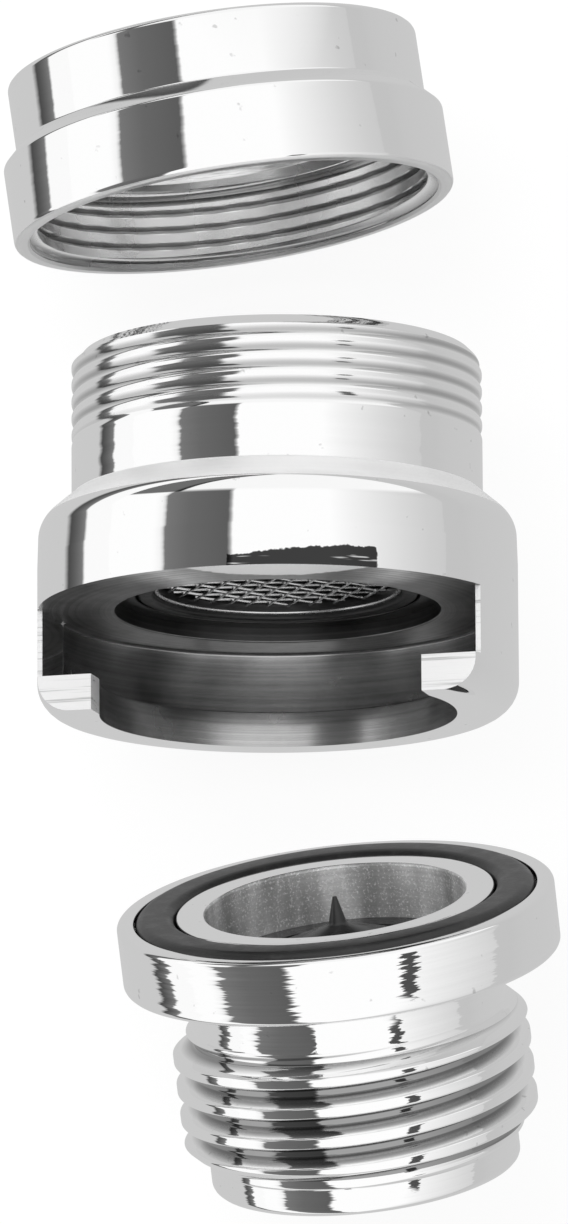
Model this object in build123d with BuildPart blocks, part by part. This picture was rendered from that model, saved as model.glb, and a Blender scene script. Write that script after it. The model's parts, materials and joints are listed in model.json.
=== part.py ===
"""Slide-in quick coupling for a basin tap, taken apart and laid flat on a table.

An adapter ring, a slotted coupler with a strainer, and a flanged hose nipple with a check
valve. Each piece is modelled upright in its own frame, tap end up and front towards -Y, and
is then laid down on the surface z = 0 where it leans on its wide and its narrow end.
"""

import os
from math import acos, atan2, copysign, cos, degrees, hypot, radians, sin, sqrt, tan

from build123d import *

# Clearances
slip = 0.1
thread_clearance = 0.05
running_clearance = 0.3
flange_clearance = 0.15

# Thread sizes: tap side, spout side and hose side
tap_thread_radius = 12.0
spout_thread_radius = 11.0
hose_thread_radius = 10.48

# Adapter ring, z = 0 at its wide end
ring_wide_radius = 12.95
ring_wide_height = 4.6
ring_step_height = 0.9
ring_height = 9.55
ring_wall = 1.0
ring_ledge_height = 4.3
ring_mouth_chamfer = 0.35
ring_edge_round = 0.35

# Coupler, z = 0 at the underside of its lip
coupler_height = 21.25
skirt_wall = 1.0
skirt_height = 11.25
skirt_round = 1.8
shoulder_height = 1.5
shoulder_round = 1.9
shoulder_ledge = 0.12
tap_thread_chamfer = 0.6
lip_thickness = 2.1
lip_opening_radius = 10.4
slot_height = 4.0
stub_front = 4.9
window_edge = 0.3
mouth_radius = 9.5
mouth_depth = 0.9
strainer_bore_radius = 8.3
strainer_bore_depth = 1.9
waterway_radius = 7.3
washer_seat_radius = 9.8
washer_height = 2.0
washer_proud = 0.15

# Strainer
strainer_seal_width = 0.95
strainer_rim_wall = 0.3
strainer_recess = 0.65
wire_width = 0.3
wire_pitch = 1.15
wire_turn = 20.0

# Hose nipple, z = 0 at its plain end
nipple_height = 16.5
flange_rim = 1.0
flange_thickness = 3.85
flange_edge_round = 0.35
neck_radius = 9.3
neck_length = 2.7
plain_end_radius = 9.1
plain_end_length = 1.65
plain_end_chamfer = 0.5
bore_radius = 7.65
bore_depth = 3.3
boss_width = 1.7
boss_proud = 0.05
gasket_width = 2.5
gasket_depth = 1.5
gasket_squeeze = 0.1
gasket_round = 0.6
cartridge_radius = 8.1

# Check valve cartridge
collar_height = 2.2
collar_opening_radius = 6.2
sleeve_wall = 0.75
sleeve_end = 2.4
snap_lip_height = 0.6
snap_lip_width = 0.4
o_ring_section = 1.2
guide_height = 1.2
guide_ring_width = 0.9
guide_hub_radius = 2.2
guide_hub_height = 2.0
guide_arm_width = 1.6
guide_arms = 3
poppet_apex_depth = 1.2
poppet_slope = 20.0
poppet_flange_height = 1.0
poppet_seal_height = 0.7
poppet_stem_radius = 1.1
spike_radius = 0.55
spike_tip_radius = 0.12
spike_height = 1.45
spring_radius = 4.0
spring_wire = 0.6
spring_turns = 3.5

# Layout on the table: places of the piece frames and turns seen from above
ring_place_x = -2.9
ring_place_y = 23.45
ring_roll = 8.5
coupler_place_x = -0.35
coupler_place_y = -5.55
coupler_roll = 0.3
coupler_turn = -15.5
nipple_place_x = 4.85
nipple_place_y = -32.35
nipple_roll = 6.8


def profile(*points):
    """A closed outline of (radius, height) points, to be turned about the upright axis."""
    with BuildSketch(Plane.XZ) as outline:
        with BuildLine():
            Polyline(*points, close=True)
        make_face()
    return outline.sketch


def circle_edges(part, radius, height):
    """The round edges of a part at one radius and height."""
    rings = part.edges().filter_by(GeomType.CIRCLE)
    return rings.filter_by(lambda edge: hypot(edge.radius - radius, edge.arc_center.Z - height) < 0.01)


# Adapter ring
ring_bore_low = tap_thread_radius + thread_clearance
ring_bore_high = spout_thread_radius + thread_clearance
ring_narrow_radius = ring_bore_high + ring_wall
ring_step_top = ring_wide_height + ring_step_height

with BuildPart() as adapter_ring:
    outline = profile(
        (ring_bore_low, 0),
        (ring_wide_radius, 0),
        (ring_wide_radius, ring_wide_height),
        (ring_narrow_radius, ring_step_top),
        (ring_narrow_radius, ring_height),
        (ring_bore_high, ring_height),
        (ring_bore_high, ring_ledge_height),
        (ring_bore_low, ring_ledge_height),
    )
    revolve(outline, axis=Axis.Z)
    chamfer(circle_edges(adapter_ring.part, ring_bore_low, 0), ring_mouth_chamfer)
    chamfer(circle_edges(adapter_ring.part, ring_bore_high, ring_height), ring_mouth_chamfer)
    fillet(circle_edges(adapter_ring.part, ring_wide_radius, 0), ring_edge_round)
    fillet(circle_edges(adapter_ring.part, ring_wide_radius, ring_wide_height), ring_edge_round)
    fillet(circle_edges(adapter_ring.part, ring_narrow_radius, ring_height), ring_edge_round)

# Sizes that the coupler takes from the nipple that slides into it
boss_radius = bore_radius + boss_width
gasket_radius = boss_radius + gasket_width
flange_radius = gasket_radius + flange_rim
slot_radius = flange_radius + flange_clearance
neck_slot_half = neck_radius + 2 * running_clearance

# Coupler body
ceiling = lip_thickness + slot_height
skirt_radius = slot_radius + skirt_wall
window_front = sqrt(skirt_radius**2 - (slot_radius + window_edge) ** 2)
mouth_top = ceiling + mouth_depth
strainer_top = mouth_top + strainer_bore_depth
shoulder_top = skirt_height + shoulder_height
shoulder_radius = tap_thread_radius + shoulder_ledge
washer_seat = coupler_height - washer_height

with BuildPart() as coupler_body:
    outline = profile(
        (0, 0),
        (skirt_radius, 0),
        (skirt_radius, skirt_height),
        (shoulder_radius, shoulder_top),
        (tap_thread_radius, shoulder_top),
        (tap_thread_radius, coupler_height),
        (0, coupler_height),
    )
    revolve(outline, axis=Axis.Z)
    fillet(circle_edges(coupler_body.part, skirt_radius, 0), skirt_round)
    fillet(circle_edges(coupler_body.part, skirt_radius, skirt_height), shoulder_round)
    chamfer(circle_edges(coupler_body.part, tap_thread_radius, coupler_height), tap_thread_chamfer)
    # Waterway, strainer seat, mouth and washer seat
    with BuildSketch(Plane.XY.offset(ceiling)):
        Circle(waterway_radius)
    extrude(amount=coupler_height - ceiling, mode=Mode.SUBTRACT)
    with BuildSketch(Plane.XY.offset(ceiling)):
        Circle(strainer_bore_radius)
    extrude(amount=strainer_top - ceiling, mode=Mode.SUBTRACT)
    with BuildSketch(Plane.XY.offset(ceiling)):
        Circle(mouth_radius)
    extrude(amount=mouth_depth, mode=Mode.SUBTRACT)
    with BuildSketch(Plane.XY.offset(washer_seat)):
        Circle(washer_seat_radius)
    extrude(amount=washer_height, mode=Mode.SUBTRACT)
    # Slot for the nipple's flange, open to the front
    with BuildSketch(Plane.XY.offset(lip_thickness)):
        Circle(slot_radius)
        with Locations((0, -skirt_radius / 2)):
            Rectangle(2 * slot_radius, skirt_radius)
        with Locations((0, -window_front)):
            Rectangle(2 * skirt_radius, skirt_radius, align=(Align.CENTER, Align.MAX))
    extrude(amount=slot_height, mode=Mode.SUBTRACT)
    # Opening in the lip for the nipple's neck, with a flat front either side
    with BuildSketch():
        Circle(lip_opening_radius)
        with Locations((0, -skirt_radius / 2)):
            Rectangle(2 * neck_slot_half, skirt_radius)
        with Locations((0, -stub_front)):
            Rectangle(2 * skirt_radius, skirt_radius, align=(Align.CENTER, Align.MAX))
    extrude(amount=lip_thickness, mode=Mode.SUBTRACT)

# Inlet washer at the tap end
with BuildPart() as inlet_washer:
    with BuildSketch(Plane.XY.offset(washer_seat)):
        Circle(washer_seat_radius - slip)
        Circle(waterway_radius, mode=Mode.SUBTRACT)
    extrude(amount=washer_height + washer_proud)

# Strainer: a rubber seal round a thin rim that holds a wire mesh
seal_outer = strainer_bore_radius - slip
seal_inner = seal_outer - strainer_seal_width
rim_inner = seal_inner - strainer_rim_wall
mesh_bottom = mouth_top + strainer_recess

with BuildPart() as strainer_seal:
    with BuildSketch(Plane.XY.offset(mouth_top)):
        Circle(seal_outer)
        Circle(seal_inner, mode=Mode.SUBTRACT)
    extrude(amount=strainer_bore_depth)
    fillet(strainer_seal.faces().sort_by(Axis.Z)[0].edges(), strainer_seal_width / 4)

with BuildPart() as strainer_rim:
    with BuildSketch(Plane.XY.offset(mouth_top + strainer_recess / 2)):
        Circle(seal_inner)
        Circle(rim_inner, mode=Mode.SUBTRACT)
    extrude(amount=strainer_bore_depth - strainer_recess / 2)

wire_count = int(2 * rim_inner / wire_pitch)
with BuildPart() as strainer_mesh:
    for layer in range(2):
        with BuildSketch(Plane.XY.offset(mesh_bottom + layer * wire_width / 2)):
            with Locations(Rot(Z=wire_turn + 90 * layer)):
                with GridLocations(wire_pitch, 0, wire_count, 1):
                    Rectangle(wire_width, 2 * rim_inner)
            Circle(rim_inner, mode=Mode.INTERSECT)
        extrude(amount=wire_width)

# Nipple body
flange_bottom = nipple_height - flange_thickness
thread_top = flange_bottom - neck_length
cartridge_top = nipple_height - bore_depth

with BuildPart() as nipple_body:
    outline = profile(
        (cartridge_radius, 0),
        (plain_end_radius, 0),
        (plain_end_radius, plain_end_length),
        (hose_thread_radius, plain_end_length + hose_thread_radius - plain_end_radius),
        (hose_thread_radius, thread_top - hose_thread_radius + neck_radius),
        (neck_radius, thread_top),
        (neck_radius, flange_bottom),
        (flange_radius, flange_bottom),
        (flange_radius, nipple_height),
        (gasket_radius, nipple_height),
        (gasket_radius, nipple_height - gasket_depth),
        (boss_radius, nipple_height - gasket_depth),
        (boss_radius, nipple_height + boss_proud),
        (bore_radius, nipple_height + boss_proud),
        (bore_radius, cartridge_top),
        (cartridge_radius, cartridge_top),
    )
    revolve(outline, axis=Axis.Z)
    fillet(circle_edges(nipple_body.part, flange_radius, flange_bottom), flange_edge_round)
    fillet(circle_edges(nipple_body.part, flange_radius, nipple_height), flange_edge_round)
    chamfer(circle_edges(nipple_body.part, plain_end_radius, 0), plain_end_chamfer)

# Flange gasket, squeezed a little when the flange is in the slot
gasket_proud = slot_height - flange_thickness + gasket_squeeze

with BuildPart() as flange_gasket:
    with BuildSketch(Plane.XY.offset(nipple_height - gasket_depth)):
        Circle(gasket_radius - slip)
        Circle(boss_radius + slip, mode=Mode.SUBTRACT)
    extrude(amount=gasket_depth + gasket_proud)
    fillet(flange_gasket.faces().sort_by(Axis.Z)[-1].edges(), gasket_round)

# Check valve housing, pushed in from the plain end up to the bore's step
housing_radius = cartridge_radius - slip
sleeve_inner = housing_radius - sleeve_wall
collar_bottom = cartridge_top - collar_height
o_ring_height = cartridge_top - collar_height / 2
o_ring_groove = housing_radius - o_ring_section

with BuildPart() as valve_housing:
    outline = profile(
        (collar_opening_radius, cartridge_top),
        (housing_radius, cartridge_top),
        (housing_radius, o_ring_height + o_ring_section / 2),
        (o_ring_groove, o_ring_height + o_ring_section / 2),
        (o_ring_groove, o_ring_height - o_ring_section / 2),
        (housing_radius, o_ring_height - o_ring_section / 2),
        (housing_radius, sleeve_end),
        (sleeve_inner - snap_lip_width, sleeve_end),
        (sleeve_inner - snap_lip_width, sleeve_end + snap_lip_height),
        (sleeve_inner, sleeve_end + snap_lip_height),
        (sleeve_inner, collar_bottom),
        (collar_opening_radius, collar_bottom),
    )
    revolve(outline, axis=Axis.Z)

with BuildPart() as valve_o_ring:
    with BuildSketch(Plane.XZ):
        with Locations((housing_radius - o_ring_section / 2, o_ring_height)):
            Circle(o_ring_section / 2)
    revolve(axis=Axis.Z)

# Guide with three arms that carries the spring and the poppet's stem
guide_bottom = sleeve_end + snap_lip_height
guide_top = guide_bottom + guide_height
guide_outer = sleeve_inner - slip

with BuildPart() as valve_guide:
    with BuildSketch(Plane.XY.offset(guide_bottom)):
        with PolarLocations(guide_outer / 2, guide_arms):
            Rectangle(guide_outer, guide_arm_width)
        Circle(guide_outer, mode=Mode.INTERSECT)
        with BuildSketch(mode=Mode.ADD):
            Circle(guide_outer)
            Circle(guide_outer - guide_ring_width, mode=Mode.SUBTRACT)
    extrude(amount=guide_height)
    with BuildSketch(Plane.XY.offset(guide_bottom)):
        Circle(guide_hub_radius)
    extrude(amount=guide_hub_height)
    with BuildSketch(Plane.XY.offset(guide_bottom)):
        Circle(poppet_stem_radius + running_clearance / 2)
    extrude(amount=guide_hub_height, mode=Mode.SUBTRACT)

# Poppet: a cone with a spike that shows in the bore, a sealing flange and a guide stem
poppet_neck_radius = collar_opening_radius - running_clearance
poppet_flange_radius = sleeve_inner - running_clearance
poppet_apex = nipple_height - poppet_apex_depth
cone_base = poppet_apex - poppet_neck_radius * tan(radians(poppet_slope))
poppet_seal_bottom = collar_bottom - poppet_seal_height
poppet_flange_bottom = poppet_seal_bottom - poppet_flange_height
spike_base = poppet_apex - spike_radius * tan(radians(poppet_slope))

with BuildPart() as valve_poppet:
    outline = profile(
        (0, guide_bottom),
        (poppet_stem_radius, guide_bottom),
        (poppet_stem_radius, poppet_flange_bottom),
        (poppet_flange_radius, poppet_flange_bottom),
        (poppet_flange_radius, poppet_seal_bottom),
        (poppet_neck_radius, poppet_seal_bottom),
        (poppet_neck_radius, cone_base),
        (spike_radius, spike_base),
        (spike_tip_radius, poppet_apex + spike_height),
        (0, poppet_apex + spike_height),
    )
    revolve(outline, axis=Axis.Z)

with BuildPart() as poppet_seal:
    with BuildSketch(Plane.XY.offset(poppet_seal_bottom)):
        Circle(poppet_flange_radius)
        Circle(poppet_neck_radius, mode=Mode.SUBTRACT)
    extrude(amount=poppet_seal_height)

# Return spring between the guide's arms and the poppet's flange
spring_bottom = guide_top + spring_wire / 2
spring_length = poppet_flange_bottom - guide_top - spring_wire
with BuildPart() as valve_spring:
    with BuildLine():
        coil = Helix(spring_length / spring_turns, spring_length, spring_radius, center=(0, 0, spring_bottom))
    with BuildSketch(Plane(origin=coil @ 0, z_dir=coil % 0)):
        Circle(spring_wire / 2)
    sweep(path=coil.edge(), is_frenet=True)


def rounded_edge(radius, height, rounding, slope):
    """Middle and size, as (radius, height, rounding), of the round where a wall turns into a slope."""
    return radius - rounding, height - rounding * tan(slope / 2), rounding


def lean(wide_edge, narrow_edge):
    """Angle at which a stepped round piece lies on the edges of its wide and its narrow end."""
    across = narrow_edge[0] - wide_edge[0]
    along = narrow_edge[1] - wide_edge[1]
    swing = acos((wide_edge[2] - narrow_edge[2]) / hypot(across, along))
    return degrees(atan2(along, across) - copysign(swing, along))


def lay_down(x, y, wide_edge, lean_angle, roll, turn=0.0):
    """Place of a piece frame whose wide edge touches the table, rolled and turned as it lies."""
    radius, height, rounding = wide_edge
    drop = radius * cos(radians(lean_angle)) + height * sin(radians(lean_angle)) + rounding
    return Pos(x, y, drop) * Rot(Z=roll) * Rot(X=-90 - lean_angle) * Rot(Z=turn)


ring_slope = atan2(ring_wide_radius - ring_narrow_radius, ring_step_height)
ring_wide_edge = rounded_edge(ring_wide_radius, ring_wide_height, ring_edge_round, ring_slope)
ring_narrow_edge = rounded_edge(ring_narrow_radius, ring_height, ring_edge_round, radians(90))
ring_lean = lean(ring_wide_edge, ring_narrow_edge)
ring_place = lay_down(ring_place_x, ring_place_y, ring_wide_edge, ring_lean, ring_roll)

shoulder_slope = atan2(skirt_radius - shoulder_radius, shoulder_height)
skirt_edge = rounded_edge(skirt_radius, skirt_height, shoulder_round, shoulder_slope)
thread_edge = (tap_thread_radius, coupler_height - tap_thread_chamfer, 0)
coupler_lean = lean(skirt_edge, thread_edge)
coupler_place = lay_down(
    coupler_place_x, coupler_place_y, skirt_edge, coupler_lean, coupler_roll, coupler_turn
)

flange_edge = (flange_radius - flange_edge_round, flange_bottom + flange_edge_round, flange_edge_round)
hose_edge = (hose_thread_radius, plain_end_length + hose_thread_radius - plain_end_radius, 0)
nipple_lean = lean(flange_edge, hose_edge)
nipple_place = lay_down(nipple_place_x, nipple_place_y, flange_edge, nipple_lean, nipple_roll)

ring_pieces = {"adapter_ring": adapter_ring}
coupler_pieces = {
    "coupler_body": coupler_body,
    "inlet_washer": inlet_washer,
    "strainer_seal": strainer_seal,
    "strainer_rim": strainer_rim,
    "strainer_mesh": strainer_mesh,
}
nipple_pieces = {
    "nipple_body": nipple_body,
    "flange_gasket": flange_gasket,
    "valve_housing": valve_housing,
    "valve_o_ring": valve_o_ring,
    "valve_guide": valve_guide,
    "valve_poppet": valve_poppet,
    "poppet_seal": poppet_seal,
    "valve_spring": valve_spring,
}

laid_pieces = []
for place, pieces in (
    (ring_place, ring_pieces),
    (coupler_place, coupler_pieces),
    (nipple_place, nipple_pieces),
):
    for name, piece in pieces.items():
        laid = piece.part.moved(place)
        laid.label = name
        laid_pieces.append(laid)

# The origin is on the table, under the middle of the whole set
box = Compound(laid_pieces).bounding_box()
to_origin = Pos(-box.center().X, -box.center().Y, -box.min.Z)

os.makedirs("parts", exist_ok=True)
for laid in laid_pieces:
    finished = laid.moved(to_origin)
    finished.label = laid.label
    export_step(finished, f"parts/{laid.label}.step")
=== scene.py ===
"""Looks of a slide-in tap coupling: three chromed pieces laid out on a pale table."""

import json
import math

import bmesh
import bpy
from mathutils import Matrix, Vector


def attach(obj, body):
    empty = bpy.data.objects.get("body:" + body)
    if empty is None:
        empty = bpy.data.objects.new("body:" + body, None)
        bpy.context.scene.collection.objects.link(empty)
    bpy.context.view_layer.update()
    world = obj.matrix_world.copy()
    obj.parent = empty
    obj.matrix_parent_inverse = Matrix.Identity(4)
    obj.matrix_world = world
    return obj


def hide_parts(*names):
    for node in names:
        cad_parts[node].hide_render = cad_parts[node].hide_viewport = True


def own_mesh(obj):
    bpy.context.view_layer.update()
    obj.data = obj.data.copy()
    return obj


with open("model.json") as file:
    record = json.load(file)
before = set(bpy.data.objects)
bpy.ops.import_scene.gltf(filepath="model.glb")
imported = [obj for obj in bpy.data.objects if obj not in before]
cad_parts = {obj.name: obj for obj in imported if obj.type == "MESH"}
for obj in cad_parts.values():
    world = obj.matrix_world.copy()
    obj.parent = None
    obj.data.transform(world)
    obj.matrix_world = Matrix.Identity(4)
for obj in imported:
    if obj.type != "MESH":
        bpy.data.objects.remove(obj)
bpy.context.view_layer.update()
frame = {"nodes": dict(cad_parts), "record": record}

MM = 0.001

crisp_angle = math.radians(38)

# Sizes in millimetres. Most are the solids' own, but thread ridges and round wires are drawn only here
tap_radius = 12.0
tap_thread_length = 5.4
tap_chamfer = 0.6
tap_thread_depth = 0.15
fine_pitch = 1.0
hose_radius = 10.48
hose_pitch = 1.814
hose_thread_depth = 1.14
hose_root_radius = 9.2

ring_bore_low = 12.05
ring_bore_high = 11.05
ring_wide_radius = 12.95
ring_narrow_radius = 12.05
ring_wide_height = 4.6
ring_step_top = 5.5
ring_height = 9.55
ring_ledge = 4.3
ring_chamfer = 0.35
ring_depth_high = 0.5
ring_depth_low = 0.55

coupler_height = 21.25
skirt_radius = 14.0
skirt_height = 11.25
shoulder_top = 12.75
lip_radius = 10.4
lip_height = 2.1
slot_radius = 13.0
ceiling = 6.1
stub_front = 4.9
stub_inside = 9.9
window_front = 4.37
mouth_radius = 9.5
mouth_top = 7.0
strainer_radius = 8.3
strainer_top = 8.9
waterway_radius = 7.3
washer_radius = 9.8
washer_seat = 19.25
coupler_turn = -15.5

seal_inner = 7.25
seal_outer = 8.2
rim_inner = 6.95
rim_bottom = 7.325
mesh_middle = 7.875
wire_pitch = 1.15
wire_radius = 0.075
wire_turn = 35.5

nipple_height = 16.5
flange_radius = 12.85
flange_bottom = 12.65
neck_radius = 9.3
thread_top = 9.95
plain_radius = 9.1
plain_length = 1.65
bore_radius = 7.65
cartridge_radius = 8.1
cartridge_top = 13.2
boss_radius = 9.35
boss_top = 16.55
gasket_radius = 11.85
gasket_floor = 15.0
gasket_top = 16.75
slip = 0.1

poppet_bottom = 3.0
poppet_stem_radius = 1.1
poppet_flange_bottom = 9.3
poppet_flange_top = 10.3
poppet_flange_radius = 6.95
poppet_neck_radius = 5.9
cone_base = 13.15
spike_base = 15.1
spike_top = 16.75
guide_top = 4.2
spring_radius = 4.0
spring_wire = 0.6
spring_turns = 3.5


def mount(name):
    """Place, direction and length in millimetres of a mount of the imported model."""
    for entry in frame["record"]["mounts"]:
        if entry["name"] == name:
            return Vector(entry["pos_m"]), Vector(entry["axis"]).normalized(), entry["dims"]["length_mm"]


def piece_frame(point, axis, along):
    """Frame of a turned piece: its axis runs through a point at a known height, and its front looks up."""
    up = (Vector((0, 0, 1)) - axis * axis.z).normalized()
    side = axis.cross(up)
    turned = Matrix((side, -up, axis)).transposed().to_4x4()
    return Matrix.Translation(point - axis * along * MM) @ turned


tap_point, tap_axis, tap_wall = mount("tap_thread")
spout_point, spout_axis, spout_wall = mount("spout_thread")
hose_point, hose_axis, hose_wall = mount("hose_thread")
tap_thread_low = coupler_height - tap_thread_length
hose_high = thread_top - hose_radius + neck_radius
coupler_upright = piece_frame(tap_point, tap_axis, coupler_height - tap_chamfer - tap_wall / 2)
coupler_frame = coupler_upright @ Matrix.Rotation(math.radians(coupler_turn), 4, "Z")
ring_frame = piece_frame(spout_point, spout_axis, ring_height - ring_chamfer - spout_wall / 2)
nipple_frame = piece_frame(hose_point, -hose_axis, hose_high - hose_wall / 2)


# Shapes, each made upright about its own axis and then settled in its place


def rounded(points, steps=5):
    """An open outline of (radius, height, rounding) points with its corners rounded off."""
    rows = [points[0][:2]]
    for before, here, after in zip(points, points[1:], points[2:]):
        corner = Vector(here[:2])
        size = here[2]
        if size == 0:
            rows.append(here[:2])
            continue
        back = (Vector(before[:2]) - corner).normalized()
        ahead = (Vector(after[:2]) - corner).normalized()
        half = back.angle(ahead) / 2
        middle = corner + (back + ahead).normalized() * size / math.sin(half)
        first = corner + back * size / math.tan(half) - middle
        last = corner + ahead * size / math.tan(half) - middle
        for step in range(steps + 1):
            way = first.lerp(last, step / steps).normalized() * size
            rows.append(tuple(middle + way))
    rows.append(points[-1][:2])
    return rows


def thread_rows(low, high, pitch, radius_at, depth_at, steps=32):
    """Rows of (radius, height, groove depth) along a thread, from low to high or the other way."""
    count = max(2, round(abs(high - low) / pitch * steps))
    rows = []
    for step in range(count + 1):
        height = low + (high - low) * step / count
        rows.append((radius_at(height), height, depth_at(height)))
    return rows


def groove(turns, edge, flank):
    """Share of a thread's depth: 0 beyond the edge and 1 where the flank has ended, in half pitches."""
    away = abs(2 * (turns % 1.0) - 1)
    share = min(1.0, max(0.0, (edge - away) / flank))
    return share * share * (3 - 2 * share)


def turned(name, rows, pitch=fine_pitch, edge=0.74, flank=0.6, segments=192, closed=True):
    """A turned piece from rows of (radius, height) or (radius, height, groove depth)."""
    vertices = []
    for row in rows:
        depth = row[2] if len(row) > 2 else 0.0
        for step in range(segments):
            turn = step / segments
            radius = row[0]
            if depth:
                radius -= depth * groove(row[1] / pitch - turn, edge, flank)
            angle = 2 * math.pi * turn
            vertices.append((radius * math.cos(angle) * MM, radius * math.sin(angle) * MM, row[1] * MM))
    faces = []
    last = len(rows) if closed else len(rows) - 1
    for row in range(last):
        here = row * segments
        above = (row + 1) % len(rows) * segments
        for step in range(segments):
            beside = (step + 1) % segments
            faces.append((here + step, here + beside, above + beside, above + step))
    mesh = bpy.data.meshes.new(name)
    mesh.from_pydata(vertices, [], faces)
    work = bmesh.new()
    work.from_mesh(mesh)
    if not closed:
        bmesh.ops.holes_fill(work, edges=work.edges)
    bmesh.ops.recalc_face_normals(work, faces=work.faces)
    work.to_mesh(mesh)
    work.free()
    return add_piece(name, mesh)


def add_piece(name, mesh):
    """Puts a mesh into the scene as a smooth piece with crisp edges."""
    mesh.shade_smooth()
    mesh.set_sharp_from_angle(angle=crisp_angle)
    piece = bpy.data.objects.new(name, mesh)
    bpy.context.scene.collection.objects.link(piece)
    return piece


def cut(piece, boxes):
    """Cuts boxes, given by their corners in the piece's own frame, out of a piece."""
    knives = []
    for low, high in boxes:
        work = bmesh.new()
        bmesh.ops.create_cube(work, size=1.0)
        for vertex in work.verts:
            for axis in range(3):
                middle = (low[axis] + high[axis]) / 2
                vertex.co[axis] = (middle + vertex.co[axis] * (high[axis] - low[axis])) * MM
        mesh = bpy.data.meshes.new("knife")
        work.to_mesh(mesh)
        work.free()
        knife = bpy.data.objects.new("knife", mesh)
        bpy.context.scene.collection.objects.link(knife)
        knives.append(knife)
        step = piece.modifiers.new("cut", "BOOLEAN")
        step.operation = "DIFFERENCE"
        step.solver = "EXACT"
        step.object = knife
    bpy.context.view_layer.update()
    whole = bpy.context.evaluated_depsgraph_get()
    mesh = bpy.data.meshes.new_from_object(piece.evaluated_get(whole))
    piece.modifiers.clear()
    piece.data = mesh
    mesh.shade_smooth()
    mesh.set_sharp_from_angle(angle=crisp_angle)
    for knife in knives:
        bpy.data.objects.remove(knife)


def tube_along(work, points, radius, sides=8):
    """Adds a closed tube along points to a bmesh."""
    rings = []
    for index, point in enumerate(points):
        ahead = points[min(index + 1, len(points) - 1)] - points[max(index - 1, 0)]
        ahead.normalize()
        side = ahead.cross(Vector((0, 0, 1))).normalized()
        up = side.cross(ahead)
        ring = []
        for step in range(sides):
            angle = 2 * math.pi * step / sides
            ring.append(work.verts.new(point + (side * math.cos(angle) + up * math.sin(angle)) * radius))
        rings.append(ring)
    for lower, upper in zip(rings, rings[1:]):
        for step in range(sides):
            beside = (step + 1) % sides
            work.faces.new((lower[step], lower[beside], upper[beside], upper[step]))
    work.faces.new(rings[0][::-1])
    work.faces.new(rings[-1])


# Adapter ring
ring_rows = rounded(
    [
        (ring_bore_low + 0.15, 0, 0),
        (ring_wide_radius, 0, 0.35),
        (ring_wide_radius, ring_wide_height, 0.25),
        (ring_narrow_radius, ring_step_top, 0.2),
        (ring_narrow_radius, ring_height, 0.35),
        (ring_bore_high + ring_chamfer, ring_height, 0.06),
        (ring_bore_high, ring_height - ring_chamfer, 0),
    ]
)
ring_rows += thread_rows(
    ring_height - 0.4,
    ring_ledge + 0.05,
    fine_pitch,
    lambda z: ring_bore_high,
    lambda z: ring_depth_high * min(1, (ring_height - 0.4 - z) / 0.5, (z - ring_ledge - 0.05) / 0.5),
)
ring_rows += [(ring_bore_high, ring_ledge), (ring_bore_low, ring_ledge)]
ring_rows += thread_rows(
    ring_ledge - 0.05,
    0.25,
    fine_pitch,
    lambda z: ring_bore_low,
    lambda z: ring_depth_low * min(1, (ring_ledge - 0.05 - z) / 0.5, (z - 0.25) / 0.4),
)
ring_rows += [(ring_bore_low, 0.15)]
ring = turned("adapter_ring_turned", ring_rows, edge=0.84, flank=0.3)

# Coupler
coupler_rows = rounded(
    [
        (lip_radius, 0, 0),
        (skirt_radius, 0, 1.8),
        (skirt_radius, skirt_height - 2.6, 4.0),
        (skirt_radius - 0.08, skirt_height, 1.9),
        (tap_radius + 0.12, shoulder_top, 0.12),
        (tap_radius, shoulder_top + 0.12, 0),
        (tap_radius, tap_thread_low, 0),
    ],
    steps=10,
)
coupler_rows += thread_rows(
    tap_thread_low + 0.02,
    coupler_height - tap_chamfer - 0.02,
    fine_pitch,
    lambda z: tap_radius,
    lambda z: tap_thread_depth * min(1, (z - tap_thread_low) / 0.8),
)
coupler_rows += thread_rows(
    coupler_height - tap_chamfer,
    coupler_height - 0.05,
    fine_pitch,
    lambda z: tap_radius - (z - coupler_height + tap_chamfer),
    lambda z: tap_thread_depth * (coupler_height - z) / tap_chamfer,
)
coupler_rows += rounded(
    [
        (tap_radius - tap_chamfer, coupler_height, 0),
        (washer_radius, coupler_height, 0),
        (washer_radius, washer_seat, 0),
        (waterway_radius, washer_seat, 0),
        (waterway_radius, strainer_top, 0),
        (strainer_radius, strainer_top, 0),
        (strainer_radius, mouth_top, 0.1),
        (mouth_radius, mouth_top, 0),
        (mouth_radius, ceiling, 0.12),
        (slot_radius, ceiling, 0.2),
        (slot_radius, lip_height, 0.2),
        (lip_radius, lip_height, 0.1),
        (lip_radius, lip_height / 2, 0),
    ],
    steps=4,
)
coupler = turned("coupler_turned", coupler_rows, edge=0.85, flank=0.8, segments=240)
cut(
    coupler,
    [
        ((-20, -20, -2), (20, -stub_front, ceiling)),
        ((-20, -6, lip_height), (20, -window_front, ceiling)),
        ((-slot_radius, -6, lip_height), (slot_radius, -0.2, ceiling)),
        ((-stub_inside, -6, -2), (stub_inside, -0.2, lip_height)),
    ],
)


# Hose nipple
def hose_outline(height):
    """Radius over the hose thread's crests, with a cone at either end."""
    start = plain_radius + height - plain_length
    end = neck_radius + thread_top - height
    return min(hose_radius, start, end)


def hose_depth(height):
    """Depth of the hose thread's groove, which runs out into both cones."""
    return min(hose_thread_depth, max(0.0, hose_outline(height) - hose_root_radius))


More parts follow.
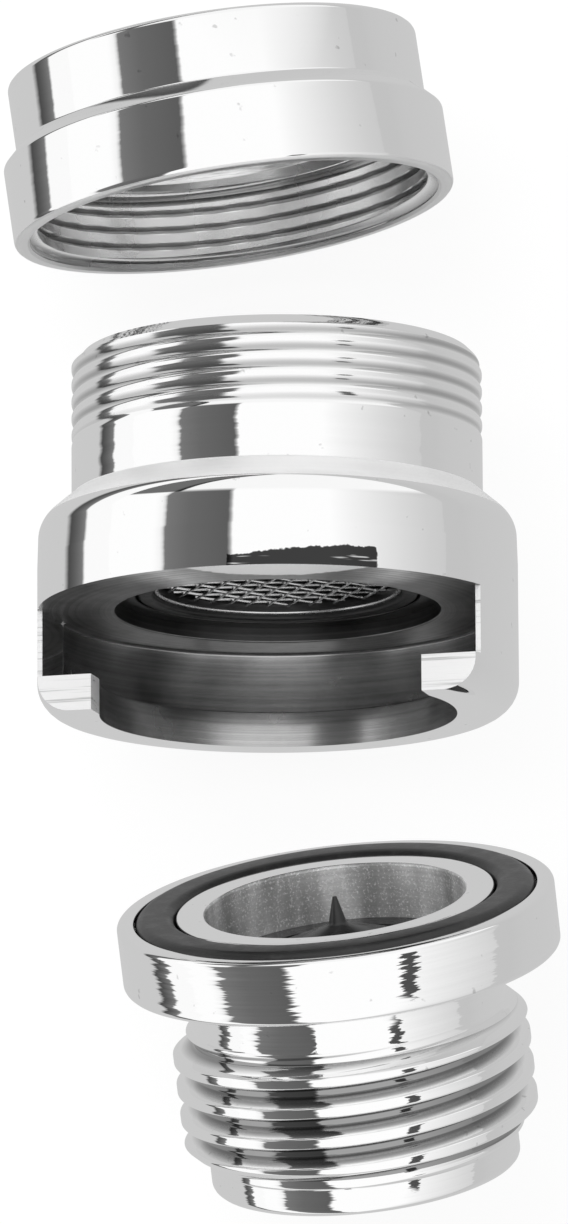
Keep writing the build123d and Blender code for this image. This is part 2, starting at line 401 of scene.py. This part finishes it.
nipple_rows = rounded(
    [
        (cartridge_radius, 0, 0),
        (plain_radius, 0, 0.45),
        (plain_radius, plain_length, 0),
    ]
)
nipple_rows += thread_rows(
    plain_length + 0.02, thread_top - 0.02, hose_pitch, hose_outline, hose_depth, steps=46
)
nipple_rows += rounded(
    [
        (neck_radius, thread_top, 0),
        (neck_radius, flange_bottom, 0.3),
        (flange_radius, flange_bottom, 0.35),
        (flange_radius, nipple_height, 0.3),
        (gasket_radius, nipple_height, 0.08),
        (gasket_radius, gasket_floor, 0),
        (boss_radius, gasket_floor, 0),
        (boss_radius, boss_top, 0.12),
        (bore_radius, boss_top, 0.2),
        (bore_radius, cartridge_top, 0),
        (cartridge_radius, cartridge_top, 0),
        (cartridge_radius, 0.02, 0),
    ]
)
nipple = turned("nipple_turned", nipple_rows, pitch=hose_pitch, segments=240)

# Rubber and steel rings
gasket = turned(
    "flange_gasket_moulded",
    rounded(
        [
            (boss_radius + slip, gasket_floor + 0.01, 0),
            (gasket_radius - slip, gasket_floor + 0.01, 0),
            (gasket_radius - slip, gasket_top, 0.6),
            (boss_radius + slip, gasket_top, 0.6),
            (boss_radius + slip, gasket_floor + 0.5, 0),
        ]
    ),
)
washer = turned(
    "inlet_washer_moulded",
    rounded(
        [
            (waterway_radius, washer_seat + 0.01, 0),
            (washer_radius - slip, washer_seat + 0.01, 0),
            (washer_radius - slip, coupler_height + 0.15, 0.25),
            (waterway_radius, coupler_height + 0.15, 0.25),
            (waterway_radius, washer_seat + 0.5, 0),
        ]
    ),
)
seal = turned(
    "strainer_seal_moulded",
    rounded(
        [
            (seal_inner, strainer_top - 0.01, 0),
            (seal_inner, mouth_top, 0.23),
            (seal_outer, mouth_top, 0.23),
            (seal_outer, strainer_top - 0.01, 0),
        ]
    ),
)
rim = turned(
    "strainer_rim_rolled",
    rounded(
        [
            (rim_inner, strainer_top - 0.01, 0),
            (rim_inner, rim_bottom, 0.12),
            (seal_inner, rim_bottom, 0.12),
            (seal_inner, strainer_top - 0.01, 0),
        ]
    ),
)

# Woven strainer mesh
wire_count = 12
weave = bmesh.new()
for family in range(2):
    spin = Matrix.Rotation(math.radians(wire_turn + 90 * family), 3, "Z")
    for wire in range(wire_count):
        across = (wire - (wire_count - 1) / 2) * wire_pitch
        reach = math.sqrt(rim_inner**2 - across**2) - 0.02
        count = max(4, round(2 * reach / wire_pitch * 8))
        points = []
        for step in range(count + 1):
            along = -reach + 2 * reach * step / count
            beat = math.cos(math.pi * (along / wire_pitch + 0.5 + wire))
            point = spin @ Vector((across, along, 0))
            point.z = mesh_middle + wire_radius * ((0.5 * beat + 0.9) if family else (0.25 * beat - 0.8))
            points.append(point * MM)
        tube_along(weave, points, wire_radius * MM)
weave_mesh = bpy.data.meshes.new("strainer_mesh_woven")
weave.to_mesh(weave_mesh)
weave.free()
mesh_wires = add_piece("strainer_mesh_woven", weave_mesh)

# Poppet of the check valve
poppet = turned(
    "valve_poppet_moulded",
    rounded(
        [
            (0.02, poppet_bottom, 0),
            (poppet_stem_radius, poppet_bottom, 0.15),
            (poppet_stem_radius, poppet_flange_bottom, 0.2),
            (poppet_flange_radius, poppet_flange_bottom, 0.15),
            (poppet_flange_radius, poppet_flange_top, 0),
            (poppet_neck_radius, poppet_flange_top, 0),
            (poppet_neck_radius, cone_base, 0.25),
            (0.55, spike_base, 0.35),
            (0.12, spike_top, 0.05),
            (0.02, spike_top, 0),
        ]
    ),
    segments=96,
    closed=False,
)

# Return spring between the guide and the poppet's flange
spring_room = poppet_flange_bottom - guide_top
coil_points = []
coil_steps = round(spring_turns * 40)
for step in range(coil_steps + 1):
    share = step / coil_steps
    angle = 2 * math.pi * spring_turns * share
    height = guide_top + spring_wire / 2 + (spring_room - spring_wire) * share
    point = Vector((spring_radius * math.cos(angle), spring_radius * math.sin(angle), height))
    coil_points.append(point * MM)
coil = bmesh.new()
tube_along(coil, coil_points, (spring_wire / 2 - 0.01) * MM, sides=14)
coil_mesh = bpy.data.meshes.new("valve_spring_wound")
coil.to_mesh(coil_mesh)
coil.free()
spring = add_piece("valve_spring_wound", coil_mesh)


# Materials


class Graph:
    """Wires the shader nodes of one material or world."""

    def __init__(self, tree):
        self.nodes = tree.nodes
        self.links = tree.links

    def feed(self, socket, value):
        if isinstance(value, bpy.types.NodeSocket):
            self.links.new(value, socket)
        else:
            socket.default_value = value

    def node(self, kind, inputs=None, **settings):
        made = self.nodes.new(kind)
        for key, value in settings.items():
            setattr(made, key, value)
        for key, value in (inputs or {}).items():
            self.feed(made.inputs[key], value)
        return made

    def math(self, operation, *values):
        made = self.nodes.new("ShaderNodeMath")
        made.operation = operation
        for index, value in enumerate(values):
            self.feed(made.inputs[index], value)
        return made.outputs[0]

    def vector(self, operation, *values):
        made = self.nodes.new("ShaderNodeVectorMath")
        made.operation = operation
        for index, value in enumerate(values):
            self.feed(made.inputs[index], value)
        return made.outputs[0]

    def scaled(self, vector, amount):
        made = self.node("ShaderNodeVectorMath", {"Vector": vector, "Scale": amount}, operation="SCALE")
        return made.outputs[0]

    def span(self, value, low, high, first=0.0, last=1.0):
        inputs = {"Value": value, "From Min": low, "From Max": high, "To Min": first, "To Max": last}
        return self.node("ShaderNodeMapRange", inputs).outputs[0]

    def within(self, value, low, high, soft):
        """1 between two values and 0 outside, with soft edges."""
        rise = self.span(value, low - soft, low + soft)
        fall = self.span(value, high - soft, high + soft, 1.0, 0.0)
        return self.math("MULTIPLY", rise, fall)

    def noise(self, vector, stretch, detail=2.0, roughness=0.5):
        """Noise over a vector that is first stretched along its three axes."""
        moved = self.vector("MULTIPLY", vector, stretch)
        inputs = {"Vector": moved, "Scale": 1.0, "Detail": detail, "Roughness": roughness}
        return self.node("ShaderNodeTexNoise", inputs).outputs[0]

    def ramp(self, value, stops):
        """A smooth run of grey levels along a value from 0 to 1."""
        made = self.node("ShaderNodeValToRGB", {"Fac": value})
        band = made.color_ramp
        while len(band.elements) < len(stops):
            band.elements.new(0.5)
        for element, (place, level) in zip(band.elements, stops):
            element.position = place
            element.color = (level, level, level, 1.0)
        return made.outputs[0]


def fresh(name, place=None):
    """A new material, its graph, its main shader and coordinates, in a piece's frame if one is given."""
    material = bpy.data.materials.new(name)
    material.use_nodes = True
    graph = Graph(material.node_tree)
    shader = graph.nodes["Principled BSDF"]
    spot = graph.node("ShaderNodeTexCoord").outputs["Object"]
    if place:
        inputs = {"Vector": spot, "Location": place.translation, "Rotation": place.to_euler()}
        spot = graph.node("ShaderNodeMapping", inputs, vector_type="TEXTURE").outputs[0]
    return material, graph, shader, spot


def turned_out(graph, vector, place):
    """A direction of a piece's frame, turned into the row's frame."""
    inputs = {"Vector": vector, "Rotation": place.to_euler()}
    return graph.node("ShaderNodeMapping", inputs, vector_type="VECTOR").outputs[0]


def around(graph, spot):
    """Distance from a piece's axis, the direction around it, and the height."""
    x, y, z = graph.node("ShaderNodeSeparateXYZ", {"Vector": spot}).outputs
    flat = graph.node("ShaderNodeCombineXYZ", {"X": x, "Y": y}).outputs[0]
    radius = graph.node("ShaderNodeVectorMath", {0: flat}, operation="LENGTH").outputs["Value"]
    way = graph.node("ShaderNodeCombineXYZ", {"X": graph.math("MULTIPLY", y, -1.0), "Y": x}).outputs[0]
    return radius, graph.vector("NORMALIZE", way), z


def polished(name, place, ripple, rows, tone=0.96, dull=0.03, neck=None, roots=None, strip_darkening=None):
    """Polished chrome: fine pits, ripples left by turning that break up the reflections' edges, painted
    shade towards the thread roots where roots are given, and a darker strip where one is given.
    """
    material, graph, shader, spot = fresh(name, place)
    radius, way, height = around(graph, spot)
    shader.inputs["Metallic"].default_value = 1.0
    smear = graph.noise(spot, (260, 260, 160), 3.0)
    graph.feed(shader.inputs["Roughness"], graph.span(smear, 0.4, 0.7, dull, dull * 1.7))
    pits = graph.noise(spot, (1300, 1300, 1300), 2.0)
    level = graph.span(pits, 0.72, 0.78, tone, tone * 0.7)
    # Painted shade: the base colour darkens towards the thread roots
    if roots:
        darkest, end, share = roots
        painted_root_shade = graph.span(radius, darkest * MM, end * MM, share, 1.0)
        level = graph.math("MULTIPLY", level, painted_root_shade)
    if strip_darkening:
        level = graph.math("MULTIPLY", level, strip_darkening(graph, spot, height))
    graph.feed(shader.inputs["Base Color"], level)
    shake = graph.noise(spot, (60, 60, rows), 2.0, 0.6)
    shake = graph.math("MULTIPLY", graph.math("SUBTRACT", shake, 0.5), ripple)
    if neck:
        shake = graph.math("MULTIPLY", shake, graph.span(height, neck * MM, (neck + 0.5) * MM, 0.5, 3.0))
    straight = graph.node("ShaderNodeNewGeometry").outputs["Normal"]
    bend = graph.scaled(turned_out(graph, way, place), shake)
    bent = graph.vector("NORMALIZE", graph.vector("ADD", straight, bend))
    inputs = {"Height": pits, "Strength": 0.02, "Distance": 0.00002, "Normal": bent}
    graph.feed(shader.inputs["Normal"], graph.node("ShaderNodeBump", inputs).outputs[0])
    return material


def strip_over_window(graph, spot, height):
    """Dark strip on the skirt just over the window, with a ragged edge and lighter streaks."""
    x, y, z = graph.node("ShaderNodeSeparateXYZ", {"Vector": spot}).outputs
    ragged = graph.math("SUBTRACT", graph.noise(spot, (900, 900, 900), 3.0, 0.7), 0.5)
    edge = graph.math("ADD", height, graph.math("MULTIPLY", ragged, 0.7 * MM))
    edge = graph.math("SUBTRACT", edge, graph.math("MULTIPLY", x, 0.07))
    side = graph.math("ADD", x, graph.math("MULTIPLY", ragged, 0.5 * MM))
    strip = graph.within(edge, (ceiling - 1) * MM, (ceiling + 0.85) * MM, 0.03 * MM)
    strip = graph.math("MULTIPLY", strip, graph.within(side, -2.9 * MM, 5.7 * MM, 0.03 * MM))
    strip = graph.math("MULTIPLY", strip, graph.math("LESS_THAN", y, -5 * MM))
    strip_streaks = graph.noise(spot, (260, 260, 3600), 2.0)
    strip_depth = graph.span(strip_streaks, 0.64, 0.68, 0.95, 0.35)
    return graph.math("SUBTRACT", 1.0, graph.math("MULTIPLY", strip, strip_depth))


def lathe_marked(name, place, dark, light, roughness, marks, metallic=1.0):
    """Bare turned metal: fine rings round the axis in tone and relief."""
    material, graph, shader, spot = fresh(name, place)
    radius, way, height = around(graph, spot)
    run = graph.node("ShaderNodeCombineXYZ", {"X": radius, "Y": height}).outputs[0]
    rings = graph.noise(run, (marks, marks, 1), 3.0, 0.7)
    cloud = graph.noise(spot, (300, 300, 300), 3.0)
    tone = graph.math("ADD", graph.math("MULTIPLY", rings, 0.6), graph.math("MULTIPLY", cloud, 0.4))
    shader.inputs["Metallic"].default_value = metallic
    graph.feed(shader.inputs["Base Color"], graph.span(tone, 0.35, 0.65, dark, light))
    graph.feed(shader.inputs["Roughness"], graph.span(cloud, 0.3, 0.7, roughness, roughness * 1.4))
    bump = graph.node("ShaderNodeBump", {"Height": rings, "Strength": 0.15, "Distance": 0.00002})
    graph.feed(shader.inputs["Normal"], bump.outputs[0])
    return material


def ceiling_turned(name, place):
    """Turned ceiling of the slot: rings round the axis, a dark base that is partly painted shade, two
    painted fan highlights and a painted reflection patch at the front.
    """
    material, graph, shader, spot = fresh(name, place)
    radius, way, height = around(graph, spot)
    x, y, z = graph.node("ShaderNodeSeparateXYZ", {"Vector": spot}).outputs
    run = graph.node("ShaderNodeCombineXYZ", {"X": radius, "Y": height}).outputs[0]
    rings = graph.noise(run, (4200, 4200, 1), 3.0, 0.7)
    cloud = graph.noise(spot, (420, 420, 420), 4.0, 0.7)
    tone = graph.math("ADD", graph.math("MULTIPLY", rings, 0.6), graph.math("MULTIPLY", cloud, 0.4))
    front = graph.math("MULTIPLY", y, -1.0)
    turn = graph.math("ABSOLUTE", graph.math("ARCTAN2", x, front))
    # Painted highlights: two paler fans either side of the front
    fan_highlight_mask = graph.within(turn, 0.42, 0.62, 0.12)
    fan_highlights = graph.math("MULTIPLY", fan_highlight_mask, graph.span(tone, 0.35, 0.6, 0.25, 0.8))
    # Dark base colour, partly painted shade of the slot's inside, with the painted fan highlights added
    level = graph.math("ADD", graph.span(tone, 0.35, 0.65, 0.12, 0.36), fan_highlights)
    # Painted reflection: a pale patch without metal along the front edge, bounded by a bowed and ragged
    # line
    bow = graph.math("MULTIPLY", graph.math("MULTIPLY", x, x), 80.0)
    ragged = graph.math("MULTIPLY", graph.math("SUBTRACT", cloud, 0.5), 1.2 * MM)
    inside = graph.math("ADD", graph.math("SUBTRACT", front, bow), ragged)
    reflection_patch = graph.span(inside, 10.6 * MM, 10.9 * MM)
    shader.inputs["Roughness"].default_value = 0.28
    level = graph.math("ADD", level, graph.math("MULTIPLY", reflection_patch, graph.math("SUBTRACT", 0.95, level)))
    graph.feed(shader.inputs["Base Color"], level)
    graph.feed(shader.inputs["Metallic"], graph.span(reflection_patch, 0.0, 1.0, 0.55, 0.0))
    bump = graph.node("ShaderNodeBump", {"Height": rings, "Strength": 0.15, "Distance": 0.00002})
    graph.feed(shader.inputs["Normal"], bump.outputs[0])
    return material


def speckled(name, place):
    """Dull grey bore with bright specks and faint tool rings."""
    material, graph, shader, spot = fresh(name, place)
    radius, way, height = around(graph, spot)
    rings = graph.noise(graph.node("ShaderNodeCombineXYZ", {"Y": height}).outputs[0], (1, 5200, 1), 3.0)
    specks = graph.noise(spot, (7000, 7000, 7000), 2.0, 0.7)
    cloud = graph.noise(spot, (420, 420, 90), 2.0)
    tone = graph.span(cloud, 0.38, 0.62, 0.4, 0.85)
    tone = graph.math("MULTIPLY", tone, graph.span(rings, 0.3, 0.7, 0.85, 1.1))
    tone = graph.math("ADD", tone, graph.span(specks, 0.54, 0.7, 0.0, 0.5))
    shader.inputs["Metallic"].default_value = 0.45
    graph.feed(shader.inputs["Base Color"], tone)
    graph.feed(shader.inputs["Roughness"], graph.span(specks, 0.3, 0.7, 0.45, 0.3))
    bump = graph.node("ShaderNodeBump", {"Height": specks, "Strength": 0.3, "Distance": 0.00004})
    graph.feed(shader.inputs["Normal"], bump.outputs[0])
    return material


def milled(name, place):
    """Bright milled faces with fine straight tool lines."""
    material, graph, shader, spot = fresh(name, place)
    lines = graph.noise(spot, (60, 900, 4200), 3.0, 0.7)
    shader.inputs["Metallic"].default_value = 0.35
    graph.feed(shader.inputs["Base Color"], graph.span(lines, 0.32, 0.46, 0.55, 1.0))
    graph.feed(shader.inputs["Roughness"], graph.span(lines, 0.3, 0.7, 0.34, 0.5))
    bump = graph.node("ShaderNodeBump", {"Height": lines, "Strength": 0.3, "Distance": 0.00003})
    graph.feed(shader.inputs["Normal"], bump.outputs[0])
    return material


def rubber(name, level):
    """Matte black rubber with a fine moulded grain and a little dust."""
    material, graph, shader, spot = fresh(name)
    grain = graph.noise(spot, (5200, 5200, 5200), 3.0)
    dust = graph.noise(spot, (900, 900, 900), 4.0, 0.7)
    graph.feed(shader.inputs["Base Color"], graph.span(dust, 0.5, 0.8, level, level * 2.4))
    graph.feed(shader.inputs["Roughness"], graph.span(dust, 0.3, 0.7, 0.3, 0.45))
    bump = graph.node("ShaderNodeBump", {"Height": grain, "Strength": 0.25, "Distance": 0.00004})
    graph.feed(shader.inputs["Normal"], bump.outputs[0])
    return material


def wire(name, level):
    """Drawn steel wire with dull spots."""
    material, graph, shader, spot = fresh(name)
    spots = graph.noise(spot, (1400, 1400, 1400), 3.0)
    shader.inputs["Metallic"].default_value = 1.0
    graph.feed(shader.inputs["Base Color"], graph.span(spots, 0.3, 0.7, level * 0.8, level))
    graph.feed(shader.inputs["Roughness"], graph.span(spots, 0.3, 0.7, 0.2, 0.34))
    bump = graph.node("ShaderNodeBump", {"Height": spots, "Strength": 0.1, "Distance": 0.00002})
    graph.feed(shader.inputs["Normal"], bump.outputs[0])
    return material


def moulded(name, level):
    """Dark moulded plastic with a slight orange-peel and flow marks."""
    material, graph, shader, spot = fresh(name)
    flow = graph.noise(spot, (300, 300, 900), 3.0)
    peel = graph.noise(spot, (2400, 2400, 2400), 2.0)
    graph.feed(shader.inputs["Base Color"], graph.span(flow, 0.3, 0.7, level, level * 1.8))
    graph.feed(shader.inputs["Roughness"], graph.span(flow, 0.3, 0.7, 0.22, 0.34))
    bump = graph.node("ShaderNodeBump", {"Height": peel, "Strength": 0.12, "Distance": 0.00003})
    graph.feed(shader.inputs["Normal"], bump.outputs[0])
    return material


# Painted shade in the threads' roots: radius where it is darkest, radius where it ends, share of the tone
ring_roots = (12.0, 11.6, 0.5)
tap_roots = (11.84, 11.97, 0.5)
hose_roots = (9.35, 10.0, 0.36)
ring_chrome = polished("ring_chrome", ring_frame, 0.018, 2600)
ring_thread = polished("ring_thread", ring_frame, 0.02, 3000, tone=0.97, dull=0.2, roots=ring_roots)
ring_lip = lathe_marked("turned_ring_lip", ring_frame, 0.8, 0.95, 0.35, 2600)
coupler_chrome = polished("coupler_chrome", coupler_upright, 0.018, 2600, neck=12.6, strip_darkening=strip_over_window)
coupler_thread = polished("coupler_thread", coupler_upright, 0.09, 5200, dull=0.1, roots=tap_roots)
shoulder_satin = lathe_marked("satin_shoulder", coupler_upright, 0.92, 1.0, 0.3, 900, metallic=0.4)
nipple_chrome = polished("nipple_chrome", nipple_frame, 0.16, 7000)
nipple_thread = polished("nipple_thread", nipple_frame, 0.12, 5000, roots=hose_roots)
# Slot ceiling: partly painted shade, painted fan highlights and a painted reflection patch at the front
inner_metal = ceiling_turned("turned_ceiling", coupler_upright)
# Painted shade: near-black turned metal for the mouth, strainer recess and waterway inside the coupler,
# and for the strainer rim's inside
dark_metal = lathe_marked("waterway_painted_shade", coupler_frame, 0.05, 0.12, 0.3, 3600)
# Slot wall: duller turned metal, darkened partly as painted shade of the slot
slot_metal = lathe_marked("turned_slot_wall", coupler_frame, 0.35, 0.62, 0.2, 4200)
lip_metal = lathe_marked("turned_lip", coupler_frame, 0.4, 0.8, 0.2, 5200)
bore_metal = speckled("nipple_bore", nipple_frame)
milled_metal = milled("milled_front", coupler_frame)
gasket_rubber = rubber("gasket_rubber", 0.018)
seal_rubber = rubber("seal_rubber", 0.012)
mesh_steel = wire("mesh_steel", 0.9)
spring_steel = wire("spring_steel", 0.66)
valve_plastic = moulded("valve_plastic", 0.015)


def paint(piece, materials, choose):
    """Gives each face the material that a rule picks from its middle, in millimetres, and its normal."""
    for material in materials:
        piece.data.materials.append(material)
    for face in piece.data.polygons:
        face.material_index = choose(face.center / MM, face.normal)


def ring_finish(middle, normal):
    """Index of the ring's finish: chrome outside, thread inside, satin lip."""
    radius = math.hypot(middle.x, middle.y)
    outwards = (normal.x * middle.x + normal.y * middle.y) / radius
    if middle.z < 0.2 and normal.z < -0.7:
        return 2
    return 1 if radius < ring_bore_low + 0.05 and 0.1 < middle.z and outwards < 0.3 else 0


def coupler_finish(middle, normal):
    """Index of the coupler's finish, in the order of coupler_finishes."""
    radius = math.hypot(middle.x, middle.y)
    if middle.z < ceiling - 0.01 and normal.y < -0.95 and middle.y < -4 and abs(middle.x) > 9:
        return 5
    if middle.z < lip_height - 0.01 and abs(normal.x) > 0.95 and abs(middle.x) < 10 and middle.y < -3:
        return 5
    # Mouth, strainer recess and waterway: metal darkened as painted shade
    if ceiling + 0.1 < middle.z < coupler_height - 0.01 and radius < washer_radius + 0.1:
        return 2
    if middle.z > ceiling - 0.1 and radius < skirt_radius - 0.05 and normal.z < -0.5:
        return 1
    if lip_height - 0.02 < middle.z < ceiling and radius < slot_radius + 0.05:
        return 3
    if middle.z < lip_height and radius < lip_radius + 0.05 and abs(normal.z) < 0.9:
        return 4
    if skirt_height < middle.z < shoulder_top + 0.2 and normal.z > 0.6:
        return 6
    if tap_thread_low + 0.3 < middle.z < coupler_height - tap_chamfer and radius > tap_radius - 0.3:
        return 7
    return 0


def nipple_finish(middle, normal):
    """Index of the nipple's finish: chrome, dull bore or thread."""
    radius = math.hypot(middle.x, middle.y)
    if radius < cartridge_radius + 0.05 and abs(normal.z) < 0.9:
        return 1
    return 2 if plain_length + 0.6 < middle.z < thread_top - 0.6 else 0


def rim_finish(middle, normal):
    """Index of the rim's finish: bright edge, or painted shade inside."""
    return 1 if math.hypot(middle.x, middle.y) < rim_inner + 0.02 and middle.z > rim_bottom + 0.15 else 0


def one_finish(middle, normal):
    """A piece with one finish."""
    return 0


ring_finishes = [ring_chrome, ring_thread, ring_lip]
nipple_finishes = [nipple_chrome, bore_metal, nipple_thread]
coupler_finishes = [coupler_chrome, inner_metal, dark_metal, slot_metal]
coupler_finishes += [lip_metal, milled_metal, shoulder_satin, coupler_thread]
for piece, node, body, slot, place, materials, choose in (
    (ring, "adapter_ring", "coupling_set", "chrome", ring_frame, ring_finishes, ring_finish),
    (coupler, "coupler_body", "coupling_set", "chrome", coupler_frame, coupler_finishes, coupler_finish),
    (nipple, "nipple_body", "coupling_set", "chrome", nipple_frame, nipple_finishes, nipple_finish),
    (gasket, "flange_gasket", "coupling_set", "rubber", nipple_frame, [gasket_rubber], one_finish),
    (washer, "inlet_washer", "coupling_set", "rubber", coupler_frame, [seal_rubber], one_finish),
    (seal, "strainer_seal", "coupling_set", "rubber", coupler_frame, [seal_rubber], one_finish),
    (rim, "strainer_rim", "coupling_set", "steel", coupler_frame, [mesh_steel, dark_metal], rim_finish),
    (mesh_wires, "strainer_mesh", "coupling_set", "steel", coupler_frame, [mesh_steel], one_finish),
    (spring, "valve_spring", "coupling_set", "steel", nipple_frame, [spring_steel], one_finish),
    (poppet, "valve_poppet", "poppet", "valve_plastic", nipple_frame, [valve_plastic], one_finish),
):
    paint(piece, materials, choose)
    piece.data.transform(place)
    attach(piece, body)
    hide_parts(node)
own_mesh(spring)

for node, material in (
    ("valve_housing", valve_plastic),
    ("valve_guide", valve_plastic),
    ("valve_o_ring", seal_rubber),
    ("poppet_seal", seal_rubber),
):
    data = frame["nodes"][node].data
    data.materials.clear()
    data.materials.append(material)

# Table, light and camera
table_mesh = bpy.data.meshes.new("table")
table_mesh.from_pydata([(-3, -3, 0), (3, -3, 0), (3, 3, 0), (-3, 3, 0)], [], [(0, 1, 2, 3)])
table = bpy.data.objects.new("table", table_mesh)
bpy.context.scene.collection.objects.link(table)

pale = bpy.data.materials.new("pale_table")
pale.use_nodes = True
graph = Graph(pale.node_tree)
graph.nodes.clear()
rays = graph.node("ShaderNodeLightPath").outputs
spot = graph.node("ShaderNodeNewGeometry").outputs["Position"]
across = graph.node("ShaderNodeSeparateXYZ", {"Vector": spot}).outputs[0]
mirrored = graph.ramp(
    graph.span(across, -0.1, 0.1),
    [(0.0, 1.0), (0.08, 1.0), (0.12, 0.2), (0.26, 0.07), (0.29, 0.6), (0.5, 0.6), (1.0, 0.56)],
)
shown = graph.node("ShaderNodeEmission", {"Color": (1.0, 1.0, 1.0, 1.0), "Strength": 1.06})
reflected = graph.node("ShaderNodeEmission", {"Color": mirrored, "Strength": 1.0})
matte = graph.node("ShaderNodeBsdfDiffuse", {"Color": (0.88, 0.88, 0.88, 1.0)})
seen = graph.node("ShaderNodeMixShader", {0: graph.math("MULTIPLY", rays["Is Camera Ray"], 0.84)})
graph.links.new(matte.outputs[0], seen.inputs[1])
graph.links.new(shown.outputs[0], seen.inputs[2])
bounced = graph.math("MAXIMUM", rays["Is Glossy Ray"], rays["Is Transmission Ray"])
both = graph.node("ShaderNodeMixShader", {0: bounced})
graph.links.new(seen.outputs[0], both.inputs[1])
graph.links.new(reflected.outputs[0], both.inputs[2])
out = graph.node("ShaderNodeOutputMaterial")
graph.links.new(both.outputs[0], out.inputs["Surface"])
table_mesh.materials.append(pale)

# Studio surroundings: a white tent that greys to the right, with a dark panel on the left, a slim dark one
# on the right, a dark one far off at the left, and a white area high at the far side
world = bpy.data.worlds.new("tent")
bpy.context.scene.world = world
world.use_nodes = True
graph = Graph(world.node_tree)
graph.nodes.clear()
rays = graph.node("ShaderNodeLightPath").outputs
looking = graph.node("ShaderNodeTexCoord").outputs["Generated"]
east, north, up = graph.node("ShaderNodeSeparateXYZ", {"Vector": looking}).outputs
swing = graph.math("ARCTAN2", east, up)
shifted = graph.math("MULTIPLY", swing, graph.span(north, -0.1, 0.1, 0.83, 1.0))
# Grey levels along the swing, in degrees from straight up to the right
stops = [
    (-100, 1.03),
    (-64, 1.03),
    (-59.4, 0.92),
    (-58, 0.19),
    (-45, 0.14),
    (-24.5, 0.11),
    (-22.5, 1.03),
    (27, 1.03),
    (39, 0.92),
    (52, 0.82),
    (66, 0.72),
    (80, 0.64),
    (100, 0.58),
]
tent = graph.ramp(graph.span(shifted, -math.pi, math.pi), [((a + 180) / 360, level) for a, level in stops])
slim = graph.within(swing, 0.61, 0.75, 0.004)
slim = graph.math("MULTIPLY", slim, graph.within(north, -0.45, -0.18, 0.01))
slim = graph.math("SUBTRACT", 1.0, graph.math("MULTIPLY", slim, 0.92))
far = graph.math("MULTIPLY", graph.within(swing, -1.75, -0.95, 0.01), graph.span(north, 0.52, 0.56))
far = graph.math("SUBTRACT", 1.0, graph.math("MULTIPLY", far, 0.85))
high = graph.math("MULTIPLY", graph.span(north, 0.5, 0.62), graph.span(swing, -0.97, -0.93))
tent = graph.math("ADD", tent, graph.math("MULTIPLY", high, graph.math("SUBTRACT", 0.97, tent)))
tent = graph.math("MULTIPLY", tent, graph.math("MULTIPLY", slim, far))
mirror = graph.node("ShaderNodeBackground", {"Color": tent, "Strength": 1.0})
plain = graph.node("ShaderNodeBackground", {"Color": (0.7, 0.7, 0.7, 1.0), "Strength": 1.0})
white = graph.node("ShaderNodeBackground", {"Color": (1.0, 1.0, 1.0, 1.0), "Strength": 1.0})
bounced = graph.math("MAXIMUM", rays["Is Glossy Ray"], rays["Is Transmission Ray"])
first = graph.node("ShaderNodeMixShader", {0: bounced})
graph.links.new(plain.outputs[0], first.inputs[1])
graph.links.new(mirror.outputs[0], first.inputs[2])
second = graph.node("ShaderNodeMixShader", {0: rays["Is Camera Ray"]})
graph.links.new(first.outputs[0], second.inputs[1])
graph.links.new(white.outputs[0], second.inputs[2])
out = graph.node("ShaderNodeOutputWorld")
graph.links.new(second.outputs[0], out.inputs["Surface"])

lamp_data = bpy.data.lights.new("soft_lamp", "AREA")
lamp_data.energy = 1.3
lamp_data.size = 0.4
lamp = bpy.data.objects.new("soft_lamp", lamp_data)
lamp.location = (-0.2, 0.25, 0.5)
lamp.rotation_euler = (-lamp.location).to_track_quat("-Z", "Y").to_euler()
lamp.visible_glossy = False
bpy.context.scene.collection.objects.link(lamp)

camera_data = bpy.data.cameras.new("camera")
sensor_size = 24.0
pixels_per_mm = 17.1
picture_height = 1224
camera_distance = 588
camera_data.sensor_width = sensor_size
camera_data.lens = sensor_size * pixels_per_mm * camera_distance / picture_height
camera_data.clip_start = 0.01
camera_data.clip_end = 20.0
camera = bpy.data.objects.new("camera", camera_data)
camera.location = (0.1 * MM, -0.05 * MM, 0.6)
camera.rotation_euler = (0.0, 0.0, 0.0)
bpy.context.scene.collection.objects.link(camera)
bpy.context.scene.camera = camera

bpy.context.scene.view_settings.view_transform = "Standard"
